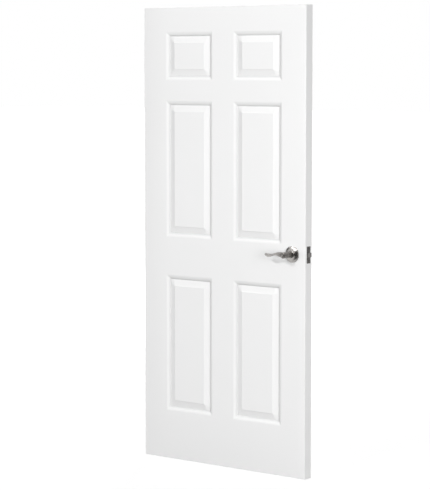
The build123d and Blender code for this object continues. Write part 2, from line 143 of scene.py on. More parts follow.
def particleboard():
    """Chips, each with its own tan and roughness, its middle a little below its edges."""
    material, tree, shader = new_material("particleboard")
    place = stretched_place(tree, (chip_cells, chip_cells, chip_cells / 2))
    chips = add_node(tree, "ShaderNodeTexVoronoi", {"Vector": place, "Scale": 1.0})
    own_tone = add_node(tree, "ShaderNodeSeparateColor", {"Color": chips.outputs["Color"]}).outputs["Red"]
    colour = blended(tree, own_tone, pale_chip, dark_chip)
    roughness = spread(tree, own_tone, 0.75, 0.95)
    link_finish(tree, shader, colour, roughness, chips.outputs["Distance"], chip_relief)
    return material


dress(particleboard(), "core")


# Timber frame. Two stiles and two rails of softwood round the core, planed flush and painted white with
# the leaf. The stiles' outer faces are the door's edges, and the lock stile carries the latch.

white_paint = (0.86, 0.86, 0.86, 1)
paint_gloss = 0.8
drift_cells = 1.7
darkest_drift = 0.985
gloss_cells = 14.0
peel_cells = 420.0
grain_across = 900.0
grain_along = 12.0
timber_relief = 0.05 * mm
finish_sockets = {"Colour": "NodeSocketColor", "Roughness": "NodeSocketFloat", "Height": "NodeSocketFloat"}


def new_group(name, inputs, outputs):
    """A shader node group with named sockets, its input node and its output node."""
    tree = bpy.data.node_groups.new(name, "ShaderNodeTree")
    for socket, kind in inputs.items():
        tree.interface.new_socket(socket, in_out="INPUT", socket_type=kind)
    for socket, kind in outputs.items():
        tree.interface.new_socket(socket, in_out="OUTPUT", socket_type=kind)
    return tree, tree.nodes.new("NodeGroupInput"), tree.nodes.new("NodeGroupOutput")


def put_out(tree, made, outputs):
    """Links what a group has made to its outputs, by name."""
    for name, value in outputs.items():
        tree.links.new(value, made.inputs[name])


def place_group(tree, group, inputs):
    """The group inside a material, with its own values."""
    return add_node(tree, "ShaderNodeGroup", inputs, node_tree=group).outputs


def paint_film_group():
    """Sprayed satin paint: a fine orange peel, a slow drift of tone and a little change of gloss."""
    tree, given, made = new_group("paint_film", {"Colour": "NodeSocketColor"}, finish_sockets)
    place = object_place(tree)
    drift = noise(tree, place, scale=drift_cells)
    gloss = noise(tree, place, scale=gloss_cells, detail=4.0)
    put_out(tree, made, {
        "Colour": scaled(tree, given.outputs["Colour"], spread_noise(tree, drift, darkest_drift, 1.0)),
        "Roughness": spread_noise(tree, gloss, 0.34, 0.46),
        "Height": noise(tree, place, scale=peel_cells, detail=3.0),
    })
    return tree


paint_film = paint_film_group()


def painted_timber(name, grain_scale):
    """The paint over planed softwood, whose grain still shows as faint ridges along the piece."""
    material, tree, shader = new_material(name)
    film = place_group(tree, paint_film, {"Colour": white_paint})
    shader.inputs["Specular IOR Level"].default_value = paint_gloss
    grain = noise(tree, stretched_place(tree, grain_scale), detail=4.0)
    relief = combined(tree, "ADD", film["Height"], grain)
    link_finish(tree, shader, film["Colour"], film["Roughness"], relief, timber_relief)
    return material


upright_grain = (grain_across, grain_across, grain_along)
level_grain = (grain_along, grain_across, grain_across)
dress(painted_timber("painted_stile", upright_grain), "hinge_stile", "lock_stile")
dress(painted_timber("painted_rail", level_grain), "top_rail", "bottom_rail")


# Skins. Two sheets of fibreboard, each pressed hot in a mould into six raised panels with an ovolo, a groove,
# a long bevel and a small step. They are glued to the core and frame and painted white.

leaf_low, leaf_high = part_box("front_skin")
face_y = leaf_low.y
half_width = leaf_high.x
leaf_height = leaf_high.z
skin_thick = 3.2 * mm
mullion_width = 120.0 * mm
panel_width = 268.0 * mm
bottom_rail_face = 220.0 * mm
lower_panel_height = 616.5 * mm
lock_rail_face = 172.5 * mm
middle_panel_height = 609.5 * mm
frieze_rail_face = 92.0 * mm
upper_panel_height = 213.5 * mm
ovolo_width = 17.0 * mm
ovolo_depth = 7.0 * mm
ovolo_bulge = 0.9 * mm
quirk_width = 1.0 * mm
groove_depth = 9.2 * mm
groove_flat = 1.5 * mm
bevel_width = 25.0 * mm
bevel_top_depth = 2.4 * mm
step_width = 3.5 * mm
step_hollow = 0.3 * mm
field_depth = 0.4 * mm
arris_round = 0.45 * mm
edge_round = 1.0 * mm
bore_radius = 27.0 * mm
bore_block = 35.0 * mm
hinge_plate_thick = 2.5 * mm
# Painted shade: the paint is made darker in the mouldings' grooves and on the lower part of each ovolo.
painted_groove_shade = 0.82
painted_shade_fade = 0.55 * ovolo_width
peel_relief = 0.04 * mm

column_x = (mullion_width + panel_width) / 2
panel_columns = np.array([[x - panel_width / 2, x + panel_width / 2] for x in (-column_x, column_x)])
rails_and_panels = [
    (bottom_rail_face, lower_panel_height),
    (lock_rail_face, middle_panel_height),
    (frieze_rail_face, upper_panel_height),
]
panel_rows = np.cumsum(rails_and_panels).reshape(-1, 2)
arrises = np.cumsum([0, ovolo_width, quirk_width, groove_flat, bevel_width, step_width])
arris_depths = [0, ovolo_depth, groove_depth, groove_depth, bevel_top_depth, field_depth]
moulding_width = arrises[-1]
hinge_places = ("bottom", "middle", "top")


def box_middle(node):
    """The middle of a CAD node's box."""
    low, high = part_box(node)
    return [(start + end) / 2 for start, end in zip(low, high)]


lock_x, _, lock_z = box_middle("spindle")


def moulding_depth(inside):
    """Depth below the face at a distance inside a panel's outer edge.

    Straight chords join the arrises. A bow of 4*t*(1-t) along its chord lifts the ovolo and sinks the step.
    The whole section is then averaged with a narrow bell curve, which rounds every arris a little, and its
    two ends, where the bell hangs over, are left out.
    """
    samples = 4001
    overhang = 200
    reach = 6 * arris_round
    fine = np.linspace(-reach, moulding_width + reach, samples)
    chord = np.interp(fine, arrises, arris_depths)
    along_ovolo = np.clip(fine / ovolo_width, 0, 1)
    along_step = np.clip((fine - arrises[4]) / step_width, 0, 1)
    raw = chord - 4 * ovolo_bulge * along_ovolo * (1 - along_ovolo)
    raw += 4 * step_hollow * along_step * (1 - along_step)
    spacing = fine[1] - fine[0]
    bell = np.exp(-0.5 * (np.arange(-reach / 2, reach / 2, spacing) / arris_round) ** 2)
    rounded = np.convolve(raw, bell / bell.sum(), mode="same")
    whole = slice(overhang, samples - overhang)
    return np.interp(inside, fine[whole], rounded[whole], left=0, right=field_depth)


def grid_lines(spans, start, end, extra):
    """Sorted grid lines along one side of the leaf: close together at every arris and at the leaf's edges."""
    near = np.array([-0.9, -0.4, 0, 0.4, 0.9]) * mm
    bow_lines = 8
    rim_lines = 6
    across = np.concatenate([
        (arrises[:, None] + near).ravel(),
        np.linspace(arrises[0], arrises[1], bow_lines),
    ])
    across = np.unique(np.round(across, 6))
    lines = [np.concatenate([low + across, high - across]) for low, high in spans]
    rim = edge_round * (1 - np.cos(np.linspace(0, math.pi / 2, rim_lines)))
    lines += [start + rim, end - rim, extra]
    return np.unique(np.round(np.concatenate(lines), 6))


def panel_inside(x, z):
    """Distance from a point to the nearest side of its panel, below zero outside the panels."""
    inside = np.full(x.shape, -np.inf)
    for left, right in panel_columns:
        for low, high in panel_rows:
            inside = np.maximum(inside, np.minimum.reduce([x - left, right - x, z - low, high - z]))
    return inside


def edge_depth(x, z):
    """Depth of the quarter round along the leaf's outer edges."""
    rim = np.minimum.reduce([x + half_width, half_width - x, z, leaf_height - z])
    short = edge_round - np.clip(rim, 0, edge_round)
    return edge_round - np.sqrt(edge_round ** 2 - short ** 2)


def split_cells(index, depth):
    """Two triangles for each grid cell, cut along the diagonal that differs more in depth, as at a mitre."""
    a, b, c, d = index[:-1, :-1], index[1:, :-1], index[1:, 1:], index[:-1, 1:]
    along_ac = np.abs(depth[:-1, :-1] - depth[1:, 1:]) >= np.abs(depth[1:, :-1] - depth[:-1, 1:])
    along_ac = along_ac[..., None, None]
    cut_ac = np.stack([np.stack([a, b, c], -1), np.stack([a, c, d], -1)], -2)
    cut_bd = np.stack([np.stack([a, b, d], -1), np.stack([b, c, d], -1)], -2)
    return np.where(along_ac, cut_ac, cut_bd)


def open_edges(triangles):
    """Directed edges that no neighbouring triangle shares."""
    edges = np.concatenate([triangles[:, [0, 1]], triangles[:, [1, 2]], triangles[:, [2, 0]]])
    size = triangles.max() + 1
    key = edges[:, 0] * size + edges[:, 1]
    back_key = edges[:, 1] * size + edges[:, 0]
    return edges[~np.isin(key, back_key)]


def block_loop(index, columns, rows):
    """The points round a block of grid cells, in order."""
    west, east = columns
    south, north = rows
    sides = [
        index[west:east, south],
        index[east, south:north],
        index[east:west:-1, north],
        index[west, north:south:-1],
    ]
    return np.concatenate(sides)


def new_piece(name, points, faces, material, smooth_angle=None):
    """A mesh object from arrays of points and faces, its doubles merged, shaded smooth up to an angle."""
    mesh = bpy.data.meshes.new(name)
    mesh.from_pydata(points.tolist(), [], faces.tolist())
    work = bmesh.new()
    work.from_mesh(mesh)
    bmesh.ops.remove_doubles(work, verts=work.verts, dist=1e-7)
    work.to_mesh(mesh)
    work.free()
    mesh.materials.append(material)
    mesh.shade_smooth()
    if smooth_angle is not None:
        mesh.set_sharp_from_angle(angle=math.radians(smooth_angle))
    piece = bpy.data.objects.new(name, mesh)
    bpy.context.collection.objects.link(piece)
    return piece


def fan_to_bore(loop, x, z):
    """Triangles from a loop of grid points to a circle round the bore, and that circle's points.

    Each point of the loop is drawn in to the circle. The circle's points are numbered after the grid's.
    """
    offset_x = x[loop] - lock_x
    offset_z = z[loop] - lock_z
    shrink = bore_radius / np.hypot(offset_x, offset_z)
    ring = x.size + np.arange(loop.size)
    next_loop = np.roll(loop, -1)
    next_ring = np.roll(ring, -1)
    fan = np.concatenate([
        np.stack([loop, next_loop, next_ring], -1),
        np.stack([loop, next_ring, ring], -1),
    ])
    return fan, lock_x + offset_x * shrink, lock_z + offset_z * shrink


def closed_sheet(triangles, x, z, front_y, back_y):
    """A front surface, the same surface turned over at its back, and rims along the open edges."""
    points = np.concatenate([np.stack([x, front_y, z], -1), np.stack([x, back_y, z], -1)])
    start, end = open_edges(triangles).T
    rims = np.concatenate([
        np.stack([end, start, start + x.size], -1),
        np.stack([end, start + x.size, end + x.size], -1),
    ])
    return points, np.concatenate([triangles, triangles[:, ::-1] + x.size, rims])


def moulded_skin(name, notches, material):
    """A skin as a front surface over a grid of lines, closed by its back and rims.

    A point's depth below the face is the moulding plus the quarter round of the edge. Cells in the notches
    are left out, and a block of cells round the lever's bore becomes a fan to a circle. The skin that has
    notches is the rear one, which is mirrored.
    """
    bore_lines = 9
    tolerance = 1e-6
    bore_x = np.linspace(lock_x - bore_block, lock_x + bore_block, bore_lines)
    bore_z = np.linspace(lock_z - bore_block, lock_z + bore_block, bore_lines)
    notch_x = [notch[0] for notch in notches]
    notch_z = [z for notch in notches for z in notch[1:]]
    x = grid_lines(panel_columns, -half_width, half_width, np.concatenate([bore_x, notch_x]))
    z = grid_lines(panel_rows, 0, leaf_height, np.concatenate([bore_z, notch_z]))
    grid_x, grid_z = np.meshgrid(x, z, indexing="ij")
    relief = moulding_depth(panel_inside(grid_x, grid_z))
    front_depth = relief + edge_depth(grid_x, grid_z)
    index = np.arange(grid_x.size).reshape(grid_x.shape)
    middle_x = (x[:-1] + x[1:])[:, None] / 2
    middle_z = (z[:-1] + z[1:])[None, :] / 2
    dropped = (np.abs(middle_x - lock_x) < bore_block) & (np.abs(middle_z - lock_z) < bore_block)
    for reach, low, high in notches:
        dropped = dropped | ((middle_x < reach) & (middle_z > low) & (middle_z < high))
    sheet = split_cells(index, front_depth)[~dropped].reshape(-1, 3)

    columns = np.searchsorted(x, bore_x[[0, -1]] - tolerance)
    rows = np.searchsorted(z, bore_z[[0, -1]] - tolerance)
    loop = block_loop(index, columns, rows)
    fan, ring_x, ring_z = fan_to_bore(loop, grid_x.ravel(), grid_z.ravel())
    flat = np.zeros(loop.size)
    points, faces = closed_sheet(
        np.concatenate([sheet, fan]),
        np.concatenate([grid_x.ravel(), ring_x]),
        np.concatenate([grid_z.ravel(), ring_z]),
        face_y + np.concatenate([front_depth.ravel(), flat]),
        face_y + np.concatenate([relief.ravel(), flat]) + skin_thick,
    )
    if notches:
        points[:, 1] *= -1
        faces = faces[:, ::-1]
    used = np.unique(faces)
    return new_piece(name, points[used], np.searchsorted(used, faces), material, smooth_angle=35)


def mesh_points(mesh):
    """The mesh's points, as rows of x, y and z."""
    points = np.empty(len(mesh.vertices) * 3)
    mesh.vertices.foreach_get("co", points)
    return points.reshape(-1, 3)


def mark_painted_groove_shade(skin):
    """A mask of painted shade on the skin's points: 1 at the ovolo's foot and in the groove, fading out up
    the ovolo.
    """
    x, _, z = mesh_points(skin.data).T
    groove_end = arrises[3]
    fades = [painted_shade_fade, ovolo_width, groove_end, groove_end + arris_round]
    mask = skin.data.attributes.new("groove", "FLOAT", "POINT")
    mask.data.foreach_set("value", np.interp(panel_inside(x, z), fades, [0, 1, 1, 0]))


def painted_fibreboard():
    """The paint on pressed fibreboard, darkened by painted shade in the mouldings' grooves and at the ovolos'
    feet.
    """
    material, tree, shader = new_material("painted_fibreboard")
    film = place_group(tree, paint_film, {"Colour": white_paint})
    shader.inputs["Specular IOR Level"].default_value = paint_gloss
    painted_shade_in_groove = add_node(tree, "ShaderNodeAttribute", attribute_name="groove").outputs["Fac"]
    colour = scaled(tree, film["Colour"], spread(tree, painted_shade_in_groove, 1.0, painted_groove_shade))
    link_finish(tree, shader, colour, film["Roughness"], film["Height"], peel_relief)
    return material


def hinge_notches():
    """Where the hinge leaves pass through the rear skin: how far in, and from which height to which."""
    found = []
    for place in hinge_places:
        low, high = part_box(f"{place}_hinge_door_leaf")
        found.append((-half_width + hinge_plate_thick, low.z, high.z))
    return found


skin_finish = painted_fibreboard()
for name, notches in (("front_skin", []), ("rear_skin", hinge_notches())):
    skin = moulded_skin("moulded_" + name, notches, skin_finish)
    # Each skin carries the mask for the painted shade in its grooves.
    mark_painted_groove_shade(skin)
    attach(skin, "door")
    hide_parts(name)


# Hinges. Three butt hinges of plated steel, their leaves let into the hinge edge, with rolled knuckles on a
# loose pin. Each door leaf is held by four countersunk screws with cross recesses.

hinge_colour = (0.42, 0.41, 0.39, 1)
scratch_across = 2400.0
scratch_along = 40.0
smudge_cells = 60.0
scratch_relief = 0.006 * mm
bloom_cells = 500.0
bloom_relief = 0.01 * mm
hinge_head_radius = 4.4 * mm
hinge_shank_radius = 2.4 * mm
hinge_screw_length = 32.0 * mm
far_column = 38.0 * mm
near_column = 25.0 * mm
wide_spacing = 76.0 * mm
close_spacing = 28.0 * mm
_, pin_y, _ = box_middle("middle_hinge_pin")


def drawn_metal_group():
    """Metal brushed in straight lines: fine scratches in tone, gloss and height, long in one direction."""
    inputs = {"Colour": "NodeSocketColor", "Stretch": "NodeSocketVector"}
    tree, given, made = new_group("drawn_metal", inputs, finish_sockets)
    scratches = noise(tree, stretched_place(tree, given.outputs["Stretch"]), detail=5.0)
    smudges = noise(tree, object_place(tree), scale=smudge_cells, detail=3.0)
    both = combined(tree, "ADD", scratches, smudges)
    put_out(tree, made, {
        "Colour": scaled(tree, given.outputs["Colour"], spread_noise(tree, scratches, 0.82, 1.12)),
        "Roughness": spread(tree, both, 0.22, 0.4, 0.7, 1.3),
        "Height": scratches,
    })
    return tree


drawn_metal = drawn_metal_group()


def new_metal(name):
    """A metallic material, its node tree and its shader."""
    material, tree, shader = new_material(name)
    shader.inputs["Metallic"].default_value = 1.0
    return material, tree, shader


def brushed_metal(name, colour, stretch):
    """Plated metal with straight brushing."""
    material, tree, shader = new_metal(name)
    finish = place_group(tree, drawn_metal, {"Colour": colour, "Stretch": stretch})
    link_finish(tree, shader, finish["Colour"], finish["Roughness"], finish["Height"], scratch_relief)
    return material


upright_brushing = (scratch_across, scratch_across, scratch_along)
hinge_metal = brushed_metal("hinge_nickel", hinge_colour, upright_brushing)
for place in hinge_places:
    dress(hinge_metal, f"{place}_hinge_door_leaf", f"{place}_hinge_jamb_leaf", f"{place}_hinge_pin")


def full_circle(count):
    """Angles at equal steps once round."""
    return np.arange(count) * 2 * math.pi / count


def grid_quads(rows, columns, closed=True):
    """Quads between a grid's points, stored row by row, each row closed on itself or left open."""
    row = np.arange(rows - 1)[:, None]
    column = np.arange(columns if closed else columns - 1)[None, :]
    beside = (column + 1) % columns
    corners = [row * columns + column, row * columns + beside]
    corners += [(row + 1) * columns + beside, (row + 1) * columns + column]
    return np.stack(corners, -1).reshape(-1, 4)


def screw_surface(head_radius, shank_radius, length):
    """A countersunk wood screw along -Z, its head's top at the origin.

    Rows run from the point up the shank and cone and over the head to its centre. The shank swells by a
    triangle wave of height less angle, which is the thread. The top sinks by the cross recess.
    """
    around = 48
    pitch = 0.8 * shank_radius
    thread = 0.22 * shank_radius
    flank = math.radians(41)
    cone = (head_radius - shank_radius) / math.tan(flank)
    recess_depth = 0.5 * head_radius
    recess_length = 0.62 * head_radius
    recess_width = 0.2 * head_radius
    floor_rise = 0.6
    head_land = 0.12 * head_radius
    thread_end = -1.4 * cone
    point_rows = np.linspace(0, 1, 5)
    shank_rows = np.linspace(0, 1, 61)[1:]
    top_rows = np.linspace(1, 0, 19)
    radius = np.concatenate([
        point_rows * shank_radius,
        np.full(shank_rows.size, shank_radius),
        [head_radius, head_radius],
        top_rows[1:] * head_radius,
    ])
    shank_start = 2 * shank_radius - length
    height = np.concatenate([
        point_rows * 2 * shank_radius - length,
        shank_start + shank_rows * (-cone - shank_start),
        [-head_land, 0],
        np.zeros(top_rows.size - 1),
    ])
    angle = full_circle(around)
    turn = height[:, None] / pitch - angle[None, :] / (2 * math.pi)
    wave = 1 - 2 * np.abs(turn % 1 - 0.5)
    on_shank = (height > shank_start) & (height < thread_end)
    reach = radius[:, None] - thread * on_shank[:, None] * wave
    x = reach * np.cos(angle)
    y = reach * np.sin(angle)
    longer = np.maximum(np.abs(x), np.abs(y))
    shorter = np.minimum(np.abs(x), np.abs(y))
    wall = np.minimum(recess_length - longer, recess_width - shorter) / (0.5 * recess_width)
    on_top = (np.arange(radius.size) >= radius.size - top_rows.size)[:, None]
    sunk = recess_depth * np.clip(wall, 0, 1) * (1 - floor_rise * longer / recess_length)
    z = height[:, None] - on_top * sunk
    points = np.stack([x, y, z], -1).reshape(-1, 3)
    return points, grid_quads(radius.size, around)


def screws_in_edge(name, screw, outward, places, material):
    """Copies of a screw in one edge of the leaf, at places of (y, z), their heads' tops at that edge."""
    points, quads = screw
    y, z = np.array(places).T
    copies = np.empty((len(places), len(points), 3))
    copies[..., 0] = outward * (half_width + points[None, :, 2])
    copies[..., 1] = y[:, None] + points[None, :, 0]
    copies[..., 2] = z[:, None] + outward * points[None, :, 1]
    faces = quads[None] + np.arange(len(places))[:, None, None] * len(points)
    return new_piece(name, copies.reshape(-1, 3), faces.reshape(-1, 4), material, smooth_angle=40)


def plated_steel(name, colour):
    """Plated or blued steel: even metal with a faint bloom."""
    material, tree, shader = new_metal(name)
    bloom = noise(tree, object_place(tree), scale=bloom_cells, detail=4.0)
    dulling = 0.85
    dulled = [dulling * part for part in colour[:3]] + [1]
    mottled = blended(tree, bloom, colour, dulled)
    link_finish(tree, shader, mottled, spread_noise(tree, bloom, 0.2, 0.42), bloom, bloom_relief)
    return material


def hinge_screw_places():
    """Two columns of screws on each leaf: a wide pair far from the pin and a close pair near it."""
    found = []
    for place in hinge_places:
        _, _, middle = box_middle(f"{place}_hinge_door_leaf")
        for column, spacing in ((far_column, wide_spacing), (near_column, close_spacing)):
            found += [(pin_y - column, middle + side * spacing / 2) for side in (-1, 1)]
    return found


hinge_steel = plated_steel("hinge_screw_steel", hinge_colour)
hinge_screw = screw_surface(hinge_head_radius, hinge_shank_radius, hinge_screw_length)
hinge_screws = screws_in_edge("recessed_hinge_screws", hinge_screw, -1, hinge_screw_places(), hinge_steel)
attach(hinge_screws, "door")
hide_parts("hinge_screws")


# Latch. A tube of zinc-plated steel in the edge bore holds the sprung bolt, and two cheeks carry the hub that
# draws it back. A brushed nickel faceplate with two screws is let in flush with the edge.

nickel_colour = (0.43, 0.415, 0.40, 1)
# Painted dark reflection: the faceplate, its screws and the bolt are nickel coloured far darker than the
# roses' nickel, as if the metal mirrored dark surroundings.
painted_dark_edge_colour = (0.145, 0.14, 0.135, 1)
painted_dark_bolt_colour = (0.21, 0.205, 0.20, 1)
zinc_colour = (0.52, 0.53, 0.55, 1)
spring_colour = (0.16, 0.16, 0.17, 1)
zinc_metal = plated_steel("zinc_plated_steel", zinc_colour)
spring_metal = plated_steel("spring_steel", spring_colour)
painted_dark_edge_metal = brushed_metal("painted_dark_edge_nickel", painted_dark_edge_colour, upright_brushing)
dress(zinc_metal, "latch_case", "latch_hub")
dress(painted_dark_edge_metal, "latch_faceplate")
dress(brushed_metal("painted_dark_bolt_nickel", painted_dark_bolt_colour, upright_brushing), "latch_bolt")

wire_radius = 0.45 * mm
coil_turns = 4
spring_low, spring_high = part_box("latch_spring")
spring_length = spring_high.x - spring_low.x


def coil_surface():
    """A round wire along a helix about X, as rings of points round the helix at even steps of its turn.

    Each ring lies across the helix. The first and last rings shrink to points, which closes the wire's ends.
    """
    around = 12
    steps_a_turn = 40
    _, centre_y, centre_z = box_middle("latch_spring")
    coil_radius = (spring_high.y - spring_low.y) / 2 - wire_radius
    coil_length = spring_length - 2 * wire_radius
    along = np.linspace(0, 1, coil_turns * steps_a_turn + 1)
    along = np.concatenate([[0], along, [1]])
    thick = np.full(along.size, wire_radius)
    thick[[0, -1]] = 0
    turn = 2 * math.pi * coil_turns * along
    cosine, sine = np.cos(turn), np.sin(turn)
    slope = coil_length / (2 * math.pi * coil_turns * coil_radius)
    helix_x = spring_low.x + wire_radius + coil_length * along
    helix = np.stack([helix_x, centre_y + coil_radius * cosine, centre_z + coil_radius * sine], -1)
    outward = np.stack([np.zeros(turn.size), cosine, sine], -1)
    sideways = np.stack([-np.ones(turn.size), -slope * sine, slope * cosine], -1) / math.hypot(1, slope)
    angle = full_circle(around)[None, :, None]
    ring = np.cos(angle) * outward[:, None] + np.sin(angle) * sideways[:, None]
    points = helix[:, None] + thick[:, None, None] * ring
    return points.reshape(-1, 3), grid_quads(along.size, around)


coil = new_piece("coiled_latch_spring", *coil_surface(), spring_metal, smooth_angle=60)
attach(coil, "door")
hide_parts("latch_spring")
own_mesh(coil)

plate_screw_spacing = 54.0 * mm
plate_head_radius = 4.0 * mm
plate_shank_radius = 2.1 * mm
plate_screw_length = 20.0 * mm
# The faceplate's screws take the faceplate's painted dark reflection.
plate_steel = plated_steel("faceplate_screw_steel", painted_dark_edge_colour)
plate_screw = screw_surface(plate_head_radius, plate_shank_radius, plate_screw_length)
plate_places = [(0, lock_z + side * plate_screw_spacing / 2) for side in (-1, 1)]
plate_screws = screws_in_edge("recessed_faceplate_screws", plate_screw, 1, plate_places, plate_steel)
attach(plate_screws, "door")
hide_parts("faceplate_screws")


# Mounting. A zinc-plated plate lies on each face over the bore, with the lever's bearing and a flat return
# spring in a cup. Two screws clamp the plates through the leaf, and a square bar joins the levers.

dress(zinc_metal, "front_mount_plate", "rear_mount_plate", "mount_screws", "spindle", "set_screws")
dress(spring_metal, "front_return_spring", "rear_return_spring")


# Roses. Pressed hollow from brass sheet, spun on a lathe with a fine brush so that the grain runs in rings,
# and plated with nickel. Each snaps over its mounting plate and hides it.

rose_radius = 35.0 * mm
rose_height = 12.5 * mm
rose_wall = 1.3 * mm
rim_height = 5.0 * mm
dome_bulge = 1.5 * mm
collar_width = 4.5 * mm
collar_rise = 1.0 * mm
neck_radius = 13.0 * mm
neck_gap = 0.3 * mm
rose_lip = 0.5 * mm
lip_bulge = 0.1 * mm
shoulder_width = 1.5 * mm
shoulder_bulge = 0.3 * mm
ring_drift = 0.02
ring_relief = 0.004 * mm
brush_stretch = 0.7
quarter_turn = 0.25


def arc_through(start, end, bulge, count):
    """Points from start to end on a curve that stands off the chord by bulge*4*t*(1-t), to its right."""
    start, end = np.array(start), np.array(end)
    t = np.linspace(0, 1, count)[:, None]
    chord = end - start
    side = np.array([chord[1], -chord[0]]) / np.hypot(*chord)
    return start + chord * t + side * bulge * 4 * t * (1 - t)


def turned_surface(profile, around):
    """A profile of (radius, height) rows carried round Z in equal steps, and the quads between the points."""
    angle = full_circle(around)
    radius = profile[:, :1]
    height = np.broadcast_to(profile[:, 1:], (len(profile), around))
    points = np.stack([radius * np.cos(angle), radius * np.sin(angle), height], -1)
    return points.reshape(-1, 3), grid_quads(len(profile), around)


def on_face(points, faces, rear):
    """Carries a shape from the lever's frame to the leaf: x along it, y up, z straight out of the face."""
    sign = 1 if rear else -1
    placed = np.stack([lock_x + points[:, 0], sign * (points[:, 2] - face_y), lock_z + points[:, 1]], -1)
    return placed, faces[:, ::-1] if rear else faces


def rose_profile():
    """Section of a rose, from its foot up over the dome and collar, down the hole and back under the wall."""
    hole = neck_radius + neck_gap
    collar = neck_radius + collar_width
    collar_base = rose_height - collar_rise
    inner_rim = rose_radius - 1.5 * rose_wall
    inner_height = rim_height - rose_wall / 2
    under_collar = collar_base - rose_wall
    rim_top = (rose_radius - rose_lip, rim_height)
    rim = arc_through((rose_radius, rim_height - rose_lip), rim_top, lip_bulge, count=5)
    dome = arc_through(rim_top, (collar, collar_base), dome_bulge, count=25)
    collar_top = (collar - shoulder_width, rose_height)
    shoulder = arc_through((collar, collar_base), collar_top, shoulder_bulge, count=7)
    mouth = arc_through((hole + rose_lip, rose_height), (hole, rose_height - rose_lip), lip_bulge, count=5)
    under = arc_through((collar, under_collar), (inner_rim, inner_height), -dome_bulge, count=13)
    return np.concatenate([
        [(inner_rim, 0), (rose_radius, 0)],
        rim,
        dome[1:],
        shoulder[1:],
        mouth,
        [(hole, under_collar)],
        under,
        [(inner_rim, 0)],
    ])


def spun_metal_group():
    """Metal brushed on a lathe: fine rings in tone, gloss and height round the lever's axis.

    The rings follow the distance from the axis and the depth along it, with a slow change round it.
    """
    inputs = {"Colour": "NodeSocketColor", "Axis": "NodeSocketVector"}
    outputs = dict(finish_sockets, Reach="NodeSocketFloat")
    tree, given, made = new_group("spun_metal", inputs, outputs)
    from_axis = {0: object_place(tree), 1: given.outputs["Axis"]}
    own = add_node(tree, "ShaderNodeVectorMath", from_axis, operation="SUBTRACT")
    parts = add_node(tree, "ShaderNodeSeparateXYZ", {0: own.outputs["Vector"]}).outputs
    level = add_node(tree, "ShaderNodeCombineXYZ", {"X": parts["X"], "Z": parts["Z"]}).outputs["Vector"]
    reach = add_node(tree, "ShaderNodeVectorMath", {0: level}, operation="LENGTH").outputs["Value"]
    rings = add_node(tree, "ShaderNodeCombineXYZ", {"X": reach, "Y": parts["Y"]}).outputs["Vector"]
    slow = scaled(tree, level, ring_drift)
    drifted = add_node(tree, "ShaderNodeVectorMath", {0: rings, 1: slow}, operation="ADD").outputs["Vector"]
    scratches = noise(tree, drifted, scale=scratch_across, detail=5.0)
    put_out(tree, made, {
        "Colour": scaled(tree, given.outputs["Colour"], spread_noise(tree, scratches, 0.84, 1.12)),
        "Roughness": spread_noise(tree, scratches, 0.22, 0.32),
        "Height": scratches,
        "Reach": reach,
    })
    return tree


spun_metal = spun_metal_group()
lever_axis = (lock_x, 0.0, lock_z)


def spun_nickel():
    """Nickel with ring brushing, which draws its highlights out across the rings.

    The tangent runs round the axis, as the ring map's u does, and the stretch is a quarter turn from it.
    """
    material, tree, shader = new_metal("spun_nickel")
    shader.inputs["Anisotropic"].default_value = brush_stretch
    shader.inputs["Anisotropic Rotation"].default_value = quarter_turn
    finish = place_group(tree, spun_metal, {"Colour": nickel_colour, "Axis": lever_axis})
    link_finish(tree, shader, finish["Colour"], finish["Roughness"], finish["Height"], ring_relief)
    tangent = add_node(tree, "ShaderNodeTangent", direction_type="UV_MAP", uv_map="rings")
    tree.links.new(tangent.outputs["Tangent"], shader.inputs["Tangent"])
    return material


def add_ring_map(piece):
    """A UV map whose u runs round the lever's axis and v out from it, for the brushing's direction.

    Where a face crosses the seam, its corners are turned on to lie beside its first corner.
    """
    mesh = piece.data
    corners = np.empty(len(mesh.loops), dtype=int)
    mesh.loops.foreach_get("vertex_index", corners)
    points = mesh_points(mesh)[corners]
    x = points[:, 0] - lock_x
    z = points[:, 2] - lock_z
    turn = np.arctan2(z, x) / (2 * math.pi)
    starts = np.empty(len(mesh.polygons), dtype=int)
    mesh.polygons.foreach_get("loop_start", starts)
    first = np.repeat(turn[starts], np.diff(np.append(starts, corners.size)))
    turn += np.round(first - turn)
    layer = mesh.uv_layers.new(name="rings")
    layer.data.foreach_set("uv", np.stack([turn, np.hypot(x, z)], -1).ravel())


rose_finish = spun_nickel()
for side, rear in (("front", False), ("rear", True)):
    rose_shape = on_face(*turned_surface(rose_profile(), around=160), rear)
    rose = new_piece(f"spun_{side}_rose", *rose_shape, rose_finish, smooth_angle=40)
    add_ring_map(rose)
    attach(rose, "door")
    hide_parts(f"{side}_rose")


# Levers. Each is one zinc casting, neck and handle together, brushed and plated with nickel. The neck turns
# in the mounting plate, held on the square bar by a set screw, and the handle waves to a leaf-shaped tip.

shank_radius = 10.0 * mm
shank_foot = -6.0 * mm
shoulder_height = 7.3 * mm
neck_start = 14.0 * mm
waist_radius = 12.4 * mm
nose_radius = 13.6 * mm
nose_round = 5.0 * mm
nose_height = 70.0 * mm
handle_height = 57.0 * mm
socket_half = 3.5 * mm
socket_top = 34.0 * mm
button_hole_radius = 5.5 * mm
button_hole_foot = 58.7 * mm
release_hole_radius = 1.5 * mm
release_hole_foot = 50.0 * mm
set_screw_radius = 2.5 * mm
set_screw_height = 17.0 * mm
casting_voxel = 0.6 * mm
# Painted dark reflection: the neck's nickel is coloured far darker than the handle's, and fades out along the
# handle up to line_start.
painted_dark_neck_colour = (0.20, 0.19, 0.18, 1)
line_start = 45.0 * mm
